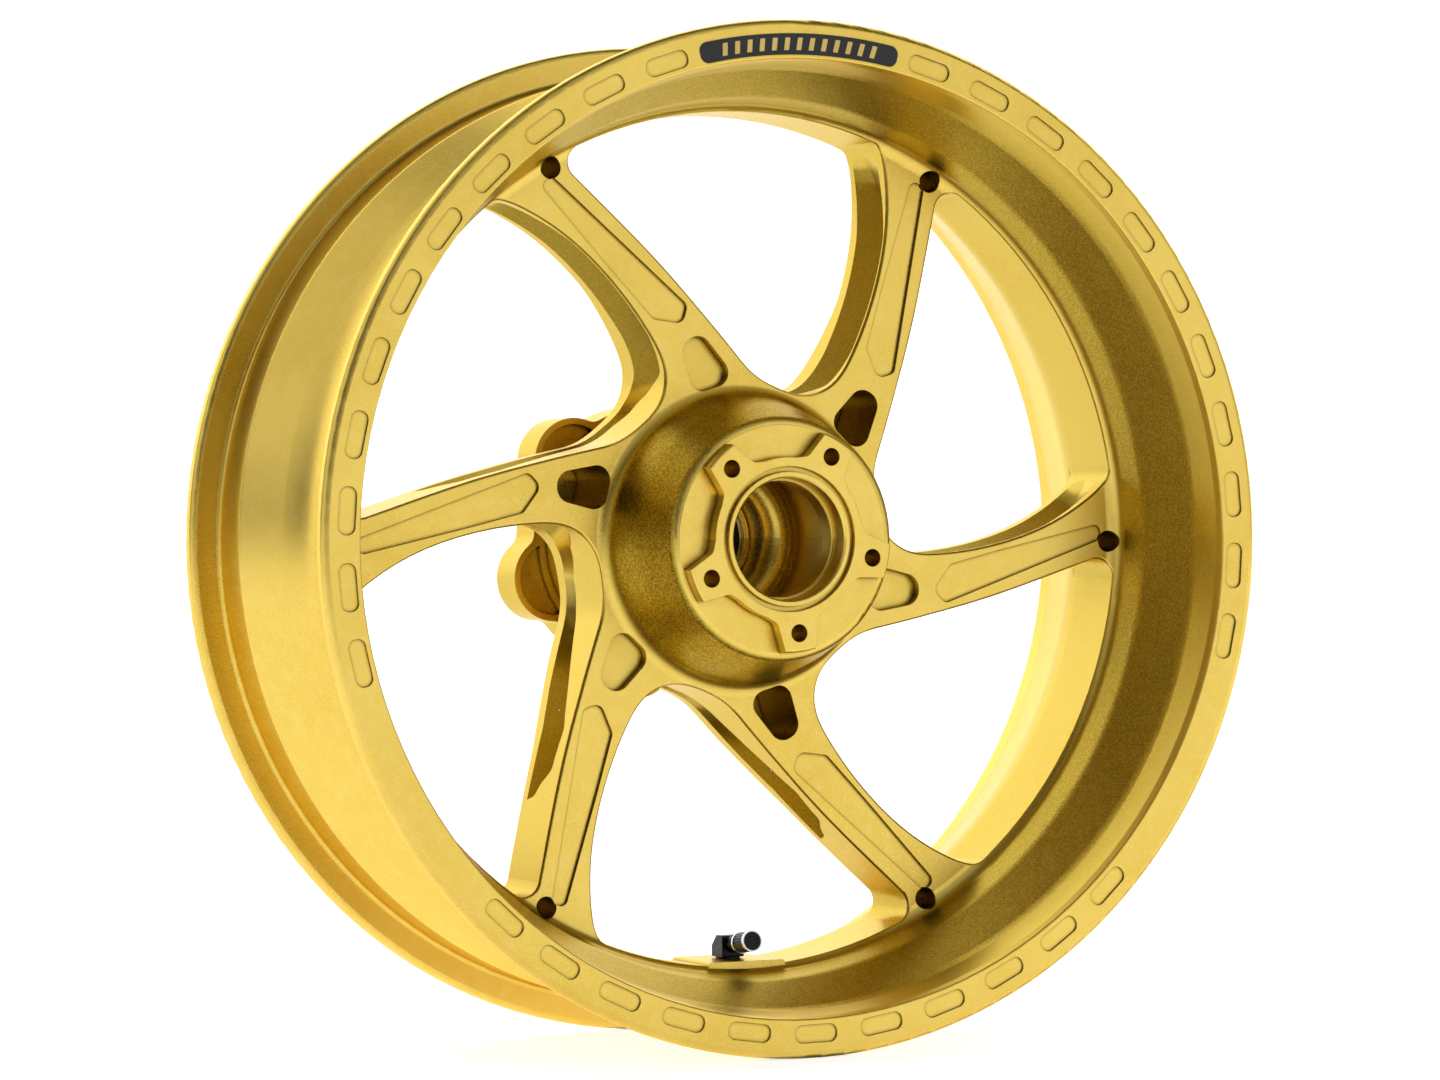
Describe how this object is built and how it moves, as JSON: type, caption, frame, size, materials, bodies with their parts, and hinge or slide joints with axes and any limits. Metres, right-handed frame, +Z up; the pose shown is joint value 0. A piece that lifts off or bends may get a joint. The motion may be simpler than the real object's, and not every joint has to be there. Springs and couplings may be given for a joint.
{
  "type": "motorcycle rear wheel rim",
  "caption": "Forged wheel rim with swept open spokes, cushioned sprocket carrier on bearings and an angled tyre valve.",
  "frame": {"origin": "centre of the rim: on the axle line, midway between the two bead seats", "axes": "+Y along the axle from the brake side to the sprocket side, +Z up, valve at the bottom"},
  "size_m": [0.462, 0.2085, 0.4619],
  "materials": {
    "gold_forging": "gold anodised over fine bead blasting, turned lips",
    "label_black": "printed film",
    "label_print": "printed marks",
    "bearing_steel": "ground",
    "ball_steel": "polished",
    "cage_polymer": "moulded",
    "seal_rubber": "moulded",
    "spring_steel": "phosphated",
    "zinc_steel": "zinc plated",
    "cush_rubber": "moulded",
    "carrier_black": "black anodised",
    "spacer_aluminium": "turned",
    "valve_black": "black anodised",
    "brass_core": "turned",
    "cap_black": "black anodised",
    "ring_metal": "bright turned"
  },
  "bodies": {
    "axle_side": {"hub_bearing_inner_race": "bearing_steel", "carrier_bearing_inner_race": "bearing_steel", "inner_spacer": "spacer_aluminium", "outer_spacer": "spacer_aluminium"},
    "wheel": {"forged_wheel": "gold_forging", "rim_label": "label_black", "label_marks": "label_print", "hub_bearing_outer_race": "bearing_steel", "hub_bearing_seals": "seal_rubber", "hub_circlip": "spring_steel", "cush_outer_sleeves": "zinc_steel", "cush_rubbers": "cush_rubber", "valve_body": "valve_black", "valve_gasket": "seal_rubber", "valve_washer": "zinc_steel", "valve_nut": "zinc_steel", "valve_core_body": "brass_core"},
    "hub_ball_set": {"hub_bearing_balls": "ball_steel", "hub_bearing_cage": "cage_polymer"},
    "carrier": {"sprocket_carrier": "carrier_black", "drive_pins": "zinc_steel", "cush_inner_sleeves": "zinc_steel", "carrier_bearing_outer_race": "bearing_steel", "carrier_bearing_seals": "seal_rubber", "carrier_circlip": "spring_steel", "carrier_seal": "seal_rubber"},
    "carrier_ball_set": {"carrier_bearing_balls": "ball_steel", "carrier_bearing_cage": "cage_polymer"},
    "valve_pin": {"valve_core_pin": "brass_core", "valve_core_seal": "seal_rubber"},
    "cap_liner": {"valve_cap_seal": "seal_rubber"},
    "cap": {"valve_cap": "cap_black", "valve_cap_rings": "ring_metal"}
  },
  "joints": [
    {"name": "wheel_spin", "type": "hinge", "parent": "axle_side", "child": "wheel", "pos_m": [0, 0, 0], "axis": [0, 1, 0], "continuous": true},
    {"name": "hub_ball_orbit", "type": "hinge", "parent": "axle_side", "child": "hub_ball_set", "pos_m": [0, 0, 0], "axis": [0, 1, 0], "continuous": true},
    {"name": "carrier_ball_orbit", "type": "hinge", "parent": "axle_side", "child": "carrier_ball_set", "pos_m": [0, 0, 0], "axis": [0, 1, 0], "continuous": true},
    {"name": "carrier_cush", "type": "hinge", "parent": "wheel", "child": "carrier", "pos_m": [0, 0, 0], "axis": [0, 1, 0], "range_deg": [-1.5, 1.5], "stiffness_Nm_per_rad": 3000, "deforming": ["cush_rubbers"]},
    {"name": "valve_pin_press", "type": "slide", "parent": "wheel", "child": "valve_pin", "axis": [0, 0.9903, -0.1392], "range_m": [0, 0.0012], "stiffness_N_per_m": 300, "springref_m": -0.002},
    {"name": "cap_lift", "type": "slide", "parent": "wheel", "child": "cap_liner", "axis": [0, -0.9903, 0.1392], "range_m": [0, 0.00635]},
    {"name": "cap_turn", "type": "hinge", "parent": "cap_liner", "child": "cap", "pos_m": [0, -0.0045, -0.1856], "axis": [0, -0.9903, 0.1392], "range_deg": [0, 2880]}
  ],
  "couplings": [
    {"joint": "hub_ball_orbit", "follows": "wheel_spin", "ratio": 0.6031},
    {"joint": "carrier_ball_orbit", "follows": "wheel_spin", "ratio": 0.6031},
    {"joint": "cap_turn", "follows": "cap_lift", "rad_per_m": 7915.7}
  ]
}
